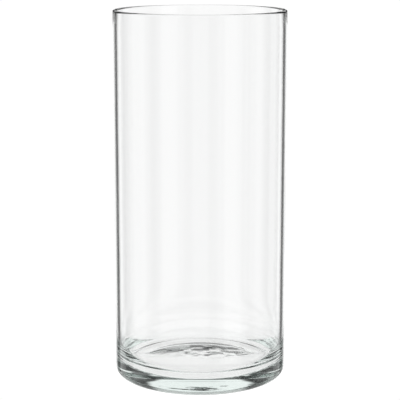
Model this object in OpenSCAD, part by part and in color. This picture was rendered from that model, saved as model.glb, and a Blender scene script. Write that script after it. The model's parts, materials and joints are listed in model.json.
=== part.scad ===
// Clear glass cylinder vase, moulded in one piece: a straight wall on a thick solid base.
// Millimetres, +Z up, origin at the centre of the foot.

/* [Overall] */
// Height from the foot to the top of the lip
vase_h = 300; // [200:5:400]
// Outside diameter of the wall
vase_d = 140; // [100:1:200]

/* [Wall] */
// Thickness of the straight wall
wall_t = 3.2; // [2.4:0.1:6]
// How much the wall has thickened by the time it reaches the floor's rounded corner
wall_flare = 1.2; // [0.4:0.1:3]
// Height over which the wall thickens, above the floor's rounded corner
flare_h = 24; // [10:1:40]

/* [Base] */
// Height of the floor's lowest ring above the foot, where the floor meets its rounded corner
base_t = 11.4; // [8:0.2:18]
// How much the floor rises from that ring to the axis
floor_rise = 1.5; // [0.5:0.5:4]
// Radius of the inside corner between the floor and the wall
floor_corner_r = 10; // [4:0.5:16]
// Radius of the outside corner between the foot and the wall
heel_r = 6; // [3:0.5:8]

/* [Foot] */
// Width of the flat ring that the vase stands on
foot_ring_w = 16; // [6:1:24]
// Depth of the hollow under the base, at its centre
punt_depth = 3; // [1:0.5:6]

/* [Hidden] */

outer_r = vase_d / 2;
inner_r = outer_r - wall_t;

// Where the inside stops being a straight cylinder and starts to draw in
straight_z = base_t + floor_corner_r + flare_h;
corner_outer_r = inner_r - wall_flare;
floor_r = corner_outer_r - floor_corner_r;

// How far the floor's dome runs into the rounded corner, so that the two meet in one line
dome_lap = 0.2;

// The hollow starts at the inner edge of the foot ring
punt_r = outer_r - heel_r - foot_ring_w;

// Facets of every arc, and how far a cut runs past the face it opens
arc_fn = 96;
past = 5;

// Radius of the sphere whose cap is edge_r wide from its axis and rise high
function cap_sphere_r(edge_r, rise) = (edge_r * edge_r + rise * rise) / (2 * rise);

// Half section of a spherical cap that stands on the X axis
module cap_section(edge_r, rise) {
    sphere_r = cap_sphere_r(edge_r, rise);
    intersection() {
        translate([0, rise - sphere_r]) circle(r = sphere_r, $fn = arc_fn);
        square([edge_r + past, rise]);
    }
}

// What a round corner of radius r leaves outside it, in the square from the origin to (r, r)
module corner_waste(r) {
    difference() {
        translate([0, -past]) square([r + past, r + past]);
        translate([0, r]) circle(r = r, $fn = arc_fn);
        translate([-past, r]) square([2 * past + r, past]);
    }
}

// Half section of the glass as if it had no cavity: a rectangle with a round heel
module outside_section() {
    difference() {
        square([outer_r, vase_h - wall_t / 2]);
        translate([outer_r - heel_r, 0]) corner_waste(heel_r);
    }
}

// Half section of the cavity: domed floor, rounded corner, thickened stretch and straight wall
module cavity_section() {
    difference() {
        translate([0, base_t]) square([corner_outer_r, floor_corner_r]);
        translate([floor_r, base_t]) corner_waste(floor_corner_r);
        translate([0, base_t]) cap_section(floor_r + dome_lap, floor_rise);
    }
    polygon([
        [0, base_t + floor_corner_r],
        [corner_outer_r, base_t + floor_corner_r],
        [inner_r, straight_z],
        [0, straight_z]
    ]);
    translate([0, straight_z]) square([inner_r, vase_h + past - straight_z]);
}

// Full-round lip, as a fire-polished edge leaves it
module lip_section() {
    translate([outer_r - wall_t / 2, vase_h - wall_t / 2]) circle(d = wall_t, $fn = arc_fn);
}

// The whole vase, one piece of glass
module glass_vessel() {
    color([0.86, 0.93, 0.91, 0.35])
    rotate_extrude($fn = arc_fn) {
        difference() {
            outside_section();
            cavity_section();
            cap_section(punt_r, punt_depth);
        }
        lip_section();
    }
}

glass_vessel();
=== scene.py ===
"""Clear glass cylinder vase, moulded in one piece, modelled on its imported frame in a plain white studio.

The vase is one body of soda-lime glass, so there is one piece: its half section is drawn point by point, spun
round the axis and given the chill marks that the mould leaves under the base. Glass shows only what it bends
and mirrors, so the rest of the file is the table top and the studio boards that it bends and mirrors.
"""

import json
import logging
import math
from dataclasses import dataclass
from enum import Enum

import bpy
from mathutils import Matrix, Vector


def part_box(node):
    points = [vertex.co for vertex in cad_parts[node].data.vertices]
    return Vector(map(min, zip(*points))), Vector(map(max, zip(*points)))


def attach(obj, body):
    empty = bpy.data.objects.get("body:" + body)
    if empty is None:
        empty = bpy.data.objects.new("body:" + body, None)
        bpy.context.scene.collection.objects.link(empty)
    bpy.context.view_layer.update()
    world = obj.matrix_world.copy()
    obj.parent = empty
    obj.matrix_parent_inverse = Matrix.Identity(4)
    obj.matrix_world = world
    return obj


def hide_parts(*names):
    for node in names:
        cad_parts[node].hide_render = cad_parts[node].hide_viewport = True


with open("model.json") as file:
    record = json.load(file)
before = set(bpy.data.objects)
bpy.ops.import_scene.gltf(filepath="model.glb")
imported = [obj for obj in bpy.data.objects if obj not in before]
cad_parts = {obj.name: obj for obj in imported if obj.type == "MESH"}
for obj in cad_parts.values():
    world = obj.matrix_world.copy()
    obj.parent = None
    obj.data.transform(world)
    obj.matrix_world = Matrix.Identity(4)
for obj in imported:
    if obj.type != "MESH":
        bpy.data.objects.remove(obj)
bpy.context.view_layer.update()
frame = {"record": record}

LOG = logging.getLogger("vase")
ROOT_BODY = "root"
VESSEL_NODE = "glass_vessel"
MM = 0.001
TURN = 2 * math.pi
WHITE = (1.0, 1.0, 1.0, 1.0)
# Light crosses at least four faces of the wall, and is mirrored many times over along the base
MOST_BOUNCES = 40
MIRROR_BOUNCES = 24
# Settings of a Map Range node that eases in and out
SOFT = {"interpolation_type": "SMOOTHSTEP"}

Point = tuple[float, float]


class Skin(Enum):
    """The two faces of the glass that the mould and the plunger leave uneven."""

    PUNT = "punt"
    INSIDE_WALL = "inside_wall"


def linear(hex_colour: str) -> tuple[float, float, float, float]:
    """Turn an sRGB hex colour into the linear colour that a shader socket takes.

    Args:
        hex_colour: Six hex digits after a hash sign, such as "#dfeeea".

    Returns:
        Linear red, green and blue, and an alpha of 1.
    """
    parts = [int(hex_colour[i:i + 2], 16) / 255 for i in (1, 3, 5)]
    red, green, blue = (c / 12.92 if c <= 0.04045 else ((c + 0.055) / 1.055) ** 2.4 for c in parts)
    return red, green, blue, 1.0


def add_node(tree: bpy.types.NodeTree, kind: str, settings: dict | None = None, *places, **names) -> bpy.types.Node:
    """Add a node, set its properties, and fill or link its inputs.

    Args:
        tree: The node tree that the node goes into.
        kind: The node's type, such as "ShaderNodeMath".
        settings: Properties of the node by name.
        *places: Inputs in the order of the node's sockets, each a value or an output socket.
        **names: Inputs by socket name, with _ for a space, each a value or an output socket.

    Returns:
        The new node.
    """
    node = tree.nodes.new(kind)
    for name, value in (settings or {}).items():
        setattr(node, name, value)
    for key, value in [*enumerate(places), *names.items()]:
        socket = node.inputs[key if isinstance(key, int) else key.replace("_", " ")]
        if isinstance(value, bpy.types.NodeSocket):
            tree.links.new(value, socket)
        else:
            socket.default_value = value
    return node


def new_material(name: str) -> bpy.types.Material:
    """Make an empty node material with this name."""
    material = bpy.data.materials.new(name)
    material.use_nodes = True
    material.node_tree.nodes.clear()
    return material


def arc(centre: Point, radius: float, start: float, end: float, steps: int) -> list[Point]:
    """Points of a circular arc in the half section, both ends included.

    Args:
        centre: Centre of the arc, as distance from the axis and height.
        radius: Radius of the arc.
        start: Angle of the first point in radians, from the outward direction towards up.
        end: Angle of the last point in radians.
        steps: Number of straight steps between the ends.

    Returns:
        The points, steps + 1 of them.
    """
    angles = [start + (end - start) * i / steps for i in range(steps + 1)]
    return [(centre[0] + radius * math.cos(a), centre[1] + radius * math.sin(a)) for a in angles]


def even_steps(start: Point, end: Point, steps: int) -> list[Point]:
    """Points on a straight line between two points, without the ends."""
    shares = [i / steps for i in range(1, steps)]
    return [(start[0] + (end[0] - start[0]) * s, start[1] + (end[1] - start[1]) * s) for s in shares]


@dataclass(frozen=True)
class SodaLimeGlass:
    """Soda-lime glass, pressed in a mould and fire-polished.

    It is clear and colourless across a 3 mm wall, and its iron shows as a faint blue-green along a thick base.
    Fire polishing leaves a gloss surface with long shallow swells, and handling leaves faint smears of less gloss.
    """

    name: str = "soda_lime_glass_fire_polished"
    ior: float = 1.52
    surface: str = "#ffffff"
    body_tint: str = "#cfe8e0"
    tint_density: float = 3.2
    # Swells left by the flame are 30 to 60 mm long and up to about 20 micrometres deep
    swell_length: float = 45 * MM
    swell_depth: float = 0.02 * MM
    # Smears from hands are 15 to 40 mm across, and lie where the noise is above its middle
    smear_length: float = 30 * MM
    smear_from: float = 0.5
    smear_full: float = 0.75
    smear_roughness: float = 0.012

    def build(self) -> bpy.types.Material:
        """Make the material.

        Returns:
            The material, with its tint in the volume and its swells and smears on Object coordinates.
        """
        material = new_material(self.name)
        tree = material.node_tree
        place = add_node(tree, "ShaderNodeTexCoord").outputs["Object"]
        swells = add_node(tree, "ShaderNodeTexNoise", Vector=place, Scale=1 / self.swell_length, Detail=1.0)
        relief = add_node(tree, "ShaderNodeBump", Distance=self.swell_depth, Height=swells.outputs["Fac"])
        smears = add_node(tree, "ShaderNodeTexNoise", Vector=place, Scale=1 / self.smear_length, Detail=3.0)
        gloss = add_node(tree, "ShaderNodeMapRange", SOFT, smears.outputs["Fac"], self.smear_from, self.smear_full,
                         0.0, self.smear_roughness)
        shader = add_node(tree, "ShaderNodeBsdfPrincipled", Base_Color=linear(self.surface), IOR=self.ior,
                          Transmission_Weight=1.0, Roughness=gloss.outputs[0], Normal=relief.outputs[0])
        body = add_node(tree, "ShaderNodeVolumeAbsorption", Color=linear(self.body_tint), Density=self.tint_density)
        add_node(tree, "ShaderNodeOutputMaterial", Surface=shader.outputs[0], Volume=body.outputs[0])
        return material


@dataclass(frozen=True)
class OpalAcrylic:
    """Opal acrylic sheet of the light table, cast and lit from below.

    It glows evenly, and the exposure burns it out to plain white where the lens sees it straight.
    """

    name: str = "opal_acrylic_cast_lit_from_below"
    colour: str = "#8a8a88"
    roughness: float = 0.6
    glow: float = 0.8
    burnt_out: float = 1.02

    def build(self) -> bpy.types.Material:
        """Make the material.

        Returns:
            The material, softly lit in the glass and plain white to the lens.
        """
        material = new_material(self.name)
        tree = material.node_tree
        straight = add_node(tree, "ShaderNodeLightPath").outputs["Is Camera Ray"]
        level = add_node(tree, "ShaderNodeMapRange", None, straight, 0.0, 1.0, self.glow, self.burnt_out)
        shader = add_node(tree, "ShaderNodeBsdfPrincipled", Base_Color=linear(self.colour), Roughness=self.roughness,
                          Specular_IOR_Level=0.0, Emission_Color=WHITE, Emission_Strength=level.outputs[0])
        add_node(tree, "ShaderNodeOutputMaterial", Surface=shader.outputs[0])
        return material


@dataclass
class GlassVessel:
    """The vase: a straight wall on a thick base, with a domed floor and a shallow hollow under the foot ring."""

    outer_r: float
    height: float
    inner_r: float
    # Height of the floor's lowest ring, and how much the floor rises from there to the axis
    base_t: float = 11.4 * MM
    floor_rise: float = 1.5 * MM
    # The narrow round valley where the plunger's edge pressed the floor, by its outer radius and its width
    valley_r: float = 55.6 * MM
    valley_w: float = 2.7 * MM
    # The corner between valley and wall is part of an ellipse that starts this far round from its lowest point
    corner_h: float = 20.0 * MM
    corner_start: float = math.radians(12)
    heel_r: float = 6.0 * MM
    ring_in_r: float = 48.0 * MM
    punt_depth: float = 3.0 * MM
    # Chill marks under the base, as the full height and the length of their waves
    chill_depth: float = 0.7 * MM
    chill_length: float = 11 * MM
    # The marks lie where the gob of molten glass first met the mould, in an oval off the axis
    gob_x: float = 10 * MM
    gob_y: float = 18 * MM
    gob_half_x: float = 40 * MM
    gob_half_y: float = 26 * MM
    # They fade over the outer half of that oval, and over this much of the punt inside the foot ring
    gob_fade: float = 0.5
    ring_fade: float = 4 * MM
    # The wall's unevenness inside, in the same way, and how far from the base and the lip it fades
    wall_wave: float = 0.05 * MM
    wall_wave_length: float = 40 * MM
    wall_fade: float = 40 * MM
    # Closer than this, a point is on a face, or two points are one
    near_face: float = 0.01 * MM
    same_point: float = 0.005 * MM
    segments: int = 256
    wall_rows: int = 24
    arc_steps: int = 24
    punt_rings: int = 56
    foot_rings: int = 6
    valley_rings: int = 8
    floor_rings: int = 24

    def underside(self) -> list[Point]:
        """Half section of the punt and the flat foot ring, from the axis outwards."""
        sphere_r = (self.ring_in_r ** 2 + self.punt_depth ** 2) / (2 * self.punt_depth)
        half = math.asin(self.ring_in_r / sphere_r)
        punt = arc((0, self.punt_depth - sphere_r), sphere_r, math.pi / 2, math.pi / 2 - half, self.punt_rings)
        return punt + even_steps((self.ring_in_r, 0), (self.outer_r - self.heel_r, 0), self.foot_rings)

    def outside(self) -> list[Point]:
        """Half section of the heel, the outer wall and the full-round lip, upwards."""
        lip_r = (self.outer_r - self.inner_r) / 2
        lip_z = self.height - lip_r
        heel = arc((self.outer_r - self.heel_r, self.heel_r), self.heel_r, -math.pi / 2, 0, self.arc_steps)
        wall = even_steps((self.outer_r, self.heel_r), (self.outer_r, lip_z), self.wall_rows)
        return heel + wall + arc((self.outer_r - lip_r, lip_z), lip_r, 0, math.pi, self.arc_steps)

    def inside(self) -> list[Point]:
        """Half section of the inner wall, the corner, the valley and the domed floor, down to the axis."""
        dome_r = self.valley_r - self.valley_w
        dome_slope = 2 * math.atan(self.floor_rise / dome_r)
        wide = (self.inner_r - self.valley_r) / (1 - math.sin(self.corner_start))
        tall = self.corner_h / math.cos(self.corner_start)
        corner_slope = math.atan(tall / wide * math.tan(self.corner_start))
        bend_r = self.valley_w / (math.sin(corner_slope) + math.sin(dome_slope))
        bend_centre = (self.valley_r - bend_r * math.sin(corner_slope), self.base_t + bend_r)
        valley = arc(bend_centre, bend_r, corner_slope - math.pi / 2, -dome_slope - math.pi / 2, self.valley_rings)
        corner_top = valley[0][1] + self.corner_h
        lip_z = self.height - (self.outer_r - self.inner_r) / 2
        points = even_steps((self.inner_r, lip_z), (self.inner_r, corner_top), self.wall_rows)
        for i in range(self.arc_steps):
            round_to = math.pi / 2 + (self.corner_start - math.pi / 2) * i / self.arc_steps
            points.append((self.inner_r - wide * (1 - math.sin(round_to)), corner_top - tall * math.cos(round_to)))
        sphere_r = dome_r / math.sin(dome_slope)
        sphere_centre = (0.0, valley[-1][1] - sphere_r * math.cos(dome_slope))
        dome = arc(sphere_centre, sphere_r, math.pi / 2 - dome_slope, math.pi / 2, self.floor_rings)
        return points + valley + dome[1:]

    def build(self) -> bpy.types.Object:
        """Draw the half section and spin it into the vase.

        Returns:
            The vase, closed, with its faces outwards and its place in its mesh.
        """
        points = self.underside() + self.outside() + self.inside()
        bpy.ops.object.select_all(action="DESELECT")
        bpy.ops.mesh.primitive_plane_add(size=1 * MM, location=(points[0][0], 0, points[0][1]))
        vase = bpy.context.object
        vase.name = "clear_glass_vase"
        bpy.ops.object.mode_set(mode="EDIT")
        bpy.ops.mesh.select_all(action="SELECT")
        bpy.ops.mesh.merge(type="CENTER")
        for (r0, z0), (r1, z1) in zip(points, points[1:]):
            bpy.ops.mesh.extrude_region_move(TRANSFORM_OT_translate={"value": (r1 - r0, 0, z1 - z0)})
        bpy.ops.mesh.select_all(action="SELECT")
        bpy.ops.mesh.spin(steps=self.segments, angle=TURN, center=(0, 0, 0), axis=(0, 0, 1))
        bpy.ops.mesh.select_all(action="SELECT")
        bpy.ops.mesh.remove_doubles(threshold=self.same_point)
        bpy.ops.mesh.normals_make_consistent(inside=False)
        bpy.ops.object.mode_set(mode="OBJECT")
        bpy.ops.object.transform_apply(location=True, rotation=True, scale=True)
        self.roughen(vase, Skin.PUNT, self.chill_depth, self.chill_length, "Z")
        self.roughen(vase, Skin.INSIDE_WALL, self.wall_wave, self.wall_wave_length, "NORMAL")
        bpy.ops.object.shade_smooth()
        return vase

    def share(self, skin: Skin, point: Vector) -> float:
        """How much of a skin's unevenness a point takes.

        Args:
            skin: The uneven face.
            point: A point of the mesh.

        Returns:
            1 well inside the face, falling smoothly to 0 at its edge and off it.
        """
        radius = math.hypot(point.x, point.y)
        if skin is Skin.PUNT:
            on_face = point.z <= self.punt_depth and radius < self.ring_in_r
            across = (point.x - self.gob_x) / self.gob_half_x
            along = (point.y - self.gob_y) / self.gob_half_y
            in_gob = (1 - math.hypot(across, along)) / self.gob_fade
            inward = min(in_gob, (self.ring_in_r - radius) / self.ring_fade)
        else:
            on_face = abs(radius - self.inner_r) < self.near_face
            from_base = point.z - self.base_t - 2 * self.corner_h
            from_lip = self.height - point.z
            inward = min(from_base, from_lip) / self.wall_fade
        step = min(max(inward, 0.0), 1.0)
        return step * step * (3 - 2 * step) if on_face else 0.0

    def roughen(self, vase: bpy.types.Object, skin: Skin, depth: float, length: float, direction: str) -> None:
        """Push a skin in and out by a cloudy pattern, and apply that to the mesh.

        Args:
            vase: The vase.
            skin: The face that is pushed.
            depth: Full height of the pattern.
            length: Length of its waves.
            direction: The Displace modifier's direction, "Z" or "NORMAL".
        """
        group = vase.vertex_groups.new(name=skin.value)
        for vertex in vase.data.vertices:
            group.add([vertex.index], self.share(skin, vertex.co), "REPLACE")
        clouds = bpy.data.textures.new(skin.value, "CLOUDS")
        clouds.noise_scale = length
        clouds.noise_depth = 1
        push = vase.modifiers.new(skin.value, "DISPLACE")
        push.texture = clouds
        push.texture_coords = "LOCAL"
        push.direction = direction
        push.strength = depth
        push.mid_level = 0.5
        push.vertex_group = group.name
        bpy.ops.object.modifier_apply(modifier=push.name)
        vase.vertex_groups.clear()

    def dress(self, vase: bpy.types.Object) -> None:
        """Give the vase its glass, and tie it to the frame in place of its CAD solid."""
        vase.data.materials.append(SodaLimeGlass().build())
        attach(vase, ROOT_BODY)
        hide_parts(VESSEL_NODE)
        LOG.info("%s: %d faces", vase.name, len(vase.data.polygons))


@dataclass
class TableTop:
    """A round table top hardly wider than the vase, the floor of the studio."""

    radius: float = 72 * MM
    thick: float = 12 * MM
    # The foot stands this far off the top, so that the two faces don't share a plane
    film: float = 0.02 * MM
    edge_r: float = 2 * MM
    edge_steps: int = 3
    segments: int = 128

    def build(self) -> bpy.types.Object:
        """Make the top and round its edge.

        Returns:
            The table top.
        """
        bpy.ops.object.select_all(action="DESELECT")
        bpy.ops.mesh.primitive_cylinder_add(vertices=self.segments, radius=self.radius, depth=self.thick,
                                            location=(0, 0, -self.film - self.thick / 2))
        top = bpy.context.object
        top.name = "pale_table_top"
        bpy.ops.object.transform_apply(location=True, rotation=True, scale=True)
        edge = top.modifiers.new("edge", "BEVEL")
        edge.width = self.edge_r
        edge.segments = self.edge_steps
        bpy.ops.object.modifier_apply(modifier=edge.name)
        top.data.materials.append(OpalAcrylic().build())
        LOG.info("%s: %d faces", top.name, len(top.data.polygons))
        return top


@dataclass(frozen=True)
class Board:
    """One soft-edged board of the studio, white or dark, by the directions that it fills as the vase sees it.

    Angles are in degrees: azimuth from +Y towards +X, and height above the horizon.
    """

    azimuth: float
    half_width: float
    bottom: float
    top: float
    radiance: float
    # Half the width of a soft side, and the whole height of a soft end
    soft_side: float = 3.0
    soft_end: float = 3.0

    def lay_over(self, tree: bpy.types.NodeTree, level: bpy.types.NodeSocket, azimuth: bpy.types.NodeSocket,
                 height: bpy.types.NodeSocket) -> bpy.types.NodeSocket:
        """Lay the board over what is there already.

        Args:
            tree: The world's node tree.
            level: Radiance before this board.
            azimuth: Azimuth of the ray, in radians.
            height: Height of the ray above the horizon, in radians.

        Returns:
            Radiance with this board.
        """
        bottom, top, half_end = math.radians(self.bottom), math.radians(self.top), math.radians(self.soft_end / 2)
        outer = math.cos(math.radians(self.half_width + self.soft_side))
        inner = math.cos(math.radians(self.half_width - self.soft_side))
        turned = add_node(tree, "ShaderNodeMath", {"operation": "SUBTRACT"}, azimuth, math.radians(self.azimuth))
        facing = add_node(tree, "ShaderNodeMath", {"operation": "COSINE"}, turned.outputs[0])
        width = add_node(tree, "ShaderNodeMapRange", SOFT, facing.outputs[0], outer, inner)
        under = add_node(tree, "ShaderNodeMapRange", SOFT, height, top + half_end, top - half_end)
        over = add_node(tree, "ShaderNodeMapRange", SOFT, height, bottom - half_end, bottom + half_end)
        band = add_node(tree, "ShaderNodeMath", {"operation": "MULTIPLY"}, under.outputs[0], over.outputs[0])
        cover = add_node(tree, "ShaderNodeMath", {"operation": "MULTIPLY"}, band.outputs[0], width.outputs[0])
        return add_node(tree, "ShaderNodeMapRange", None, cover.outputs[0], 0.0, 1.0, level, self.radiance).outputs[0]


@dataclass
class Studio:
    """A pale room with a dark ceiling, and the boards that the glass bends and mirrors.

    A white board stands behind the vase, and the dark card at each side of it draws the edge of the glass. Every
    other side that a view looks towards has a white board and cards of its own. The back light shows in the
    thick of the base, and the front light in the corner between the floor and the wall.
    """

    room: float = 0.56
    ceiling: float = 0.015
    # The ceiling starts here, and fades in over this much below it
    horizon_top: float = 3.5
    horizon_soft: float = 6.0
    overhead: float = 0.15
    overhead_from: float = 62.0
    overhead_soft: float = 6.0
    # Radiance where the lens sees the world straight, while the glass sees the room and its boards
    burnt_out: float = 1.02
    # Lower than straight down, for a board that has no lower edge
    bottomless: float = -95.0
    pale: float = 1.0
    behind_half: float = 22.0
    card: float = 0.14
    card_half: float = 8.0
    card_at: float = 31.0
    side: float = 0.98
    side_half: float = 12.0
    side_at: tuple[float, ...] = (135.0, 270.0, 312.0, 48.0)
    side_card: float = 0.3
    side_card_half: float = 6.0
    side_card_at: tuple[float, ...] = (107.0, 163.0, 242.0, 295.0)
    back_light: float = 1.0
    back_light_half: float = 24.0
    back_light_from: float = 10.0
    back_light_to: float = 40.0
    front_light: float = 1.1
    front_light_half: float = 80.0
    front_light_from: float = 12.0
    front_light_to: float = 44.0
    # The high window lights one end of the chill marks only
    window: float = 0.6
    window_at: float = 125.0
    window_half: float = 35.0
    window_from: float = 55.0
    window_to: float = 86.0

    def boards(self) -> list[Board]:
        """The boards, each over the ones before it."""
        low, top, back, front = self.bottomless, self.horizon_top, 0.0, 180.0
        out = [Board(a, self.side_half, low, top, self.side) for a in self.side_at]
        out += [Board(a, self.side_card_half, low, top, self.side_card) for a in self.side_card_at]
        out += [Board(a, self.card_half, low, top, self.card) for a in (-self.card_at, self.card_at)]
        out.append(Board(back, self.behind_half, low, top, self.pale))
        out.append(Board(front, self.front_light_half, self.front_light_from, self.front_light_to, self.front_light))
        out.append(Board(self.window_at, self.window_half, self.window_from, self.window_to, self.window))
        out.append(Board(back, self.back_light_half, self.back_light_from, self.back_light_to, self.back_light))
        return out

    def build(self) -> None:
        """Make the world, which is plain white where the lens sees it straight."""
        world = bpy.data.worlds.new("studio")
        bpy.context.scene.world = world
        world.use_nodes = True
        tree = world.node_tree
        tree.nodes.clear()
        ray = add_node(tree, "ShaderNodeTexCoord").outputs["Generated"]
        axes = add_node(tree, "ShaderNodeSeparateXYZ", None, ray).outputs
        azimuth = add_node(tree, "ShaderNodeMath", {"operation": "ARCTAN2"}, axes["X"], axes["Y"]).outputs[0]
        height = add_node(tree, "ShaderNodeMath", {"operation": "ARCSINE"}, axes["Z"]).outputs[0]
        level = add_node(tree, "ShaderNodeMapRange", SOFT, height, math.radians(self.horizon_top),
                         math.radians(self.horizon_top - self.horizon_soft), self.ceiling, self.room).outputs[0]
        boards = self.boards()
        for board in boards:
            level = board.lay_over(tree, level, azimuth, height)
        lamp = add_node(tree, "ShaderNodeMapRange", SOFT, height, math.radians(self.overhead_from),
                        math.radians(self.overhead_from + self.overhead_soft), 0.0, self.overhead)
        total = add_node(tree, "ShaderNodeMath", {"operation": "ADD"}, level, lamp.outputs[0])
        around = add_node(tree, "ShaderNodeBackground", None, WHITE, total.outputs[0])
        white = add_node(tree, "ShaderNodeBackground", None, WHITE, self.burnt_out)
        straight = add_node(tree, "ShaderNodeLightPath").outputs["Is Camera Ray"]
        both = add_node(tree, "ShaderNodeMixShader", None, straight, around.outputs[0], white.outputs[0])
        add_node(tree, "ShaderNodeOutputWorld", Surface=both.outputs[0])
        LOG.info("studio: %d boards", len(boards))


@dataclass
class ViewCamera:
    """The camera, far off and a little above the lip, looking at the middle of the vase."""

    radius: float
    height: float
    distance_in_radii: float = 16.0
    # How far the lens stands above the lip, as a share of the distance, and where on the vase it aims
    above_lip: float = 0.059
    aim: float = 145 / 300
    # Sensor width and focal length, in the millimetres that a camera's settings take
    sensor: float = 36.0
    lens: float = 125.4
    nearest: float = 10 * MM

    def build(self) -> bpy.types.Object:
        """Make the camera.

        Returns:
            The camera, set as the scene's.
        """
        distance = self.distance_in_radii * self.radius
        place = Vector((0, -distance, self.height + self.above_lip * distance))
        target = Vector((0, 0, self.aim * self.height))
        bpy.ops.object.select_all(action="DESELECT")
        bpy.ops.object.camera_add(location=place, rotation=(target - place).to_track_quat("-Z", "Y").to_euler())
        camera = bpy.context.object
        camera.name = "view_camera"
        camera.data.sensor_width = self.sensor
        camera.data.lens = self.lens
        camera.data.clip_start = self.nearest
        bpy.context.scene.camera = camera
        LOG.info("%s: %.0f mm from the axis", camera.name, distance / MM)
        return camera


def set_light_paths() -> None:
    """Let light pass through every wall and be mirrored inside the base, and keep the tones as they are."""
    scene = bpy.context.scene
    scene.view_settings.view_transform = "Standard"
    scene.cycles.max_bounces = MOST_BOUNCES
    scene.cycles.transmission_bounces = MOST_BOUNCES
    scene.cycles.glossy_bounces = MIRROR_BOUNCES
    scene.cycles.caustics_reflective = True
    scene.cycles.caustics_refractive = True
    scene.cycles.blur_glossy = 0.0


def main() -> None:
    """Build the camera, the vase, the table top and the studio, in that order."""
    logging.basicConfig(level=logging.INFO, format="%(name)s %(message)s")
    low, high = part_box(VESSEL_NODE)
    mounts = {mount["name"]: mount for mount in frame["record"]["mounts"]}
    inner_r = mounts["mouth_bore"]["dims"]["r_mm"] * MM
    outer_r = high[0]
    height = high[2] - low[2]
    ViewCamera(outer_r, height).build()
    vessel = GlassVessel(outer_r, height, inner_r)
    vessel.dress(vessel.build())
    TableTop().build()
    Studio().build()
    set_light_paths()


if __name__ == "__main__":
    main()
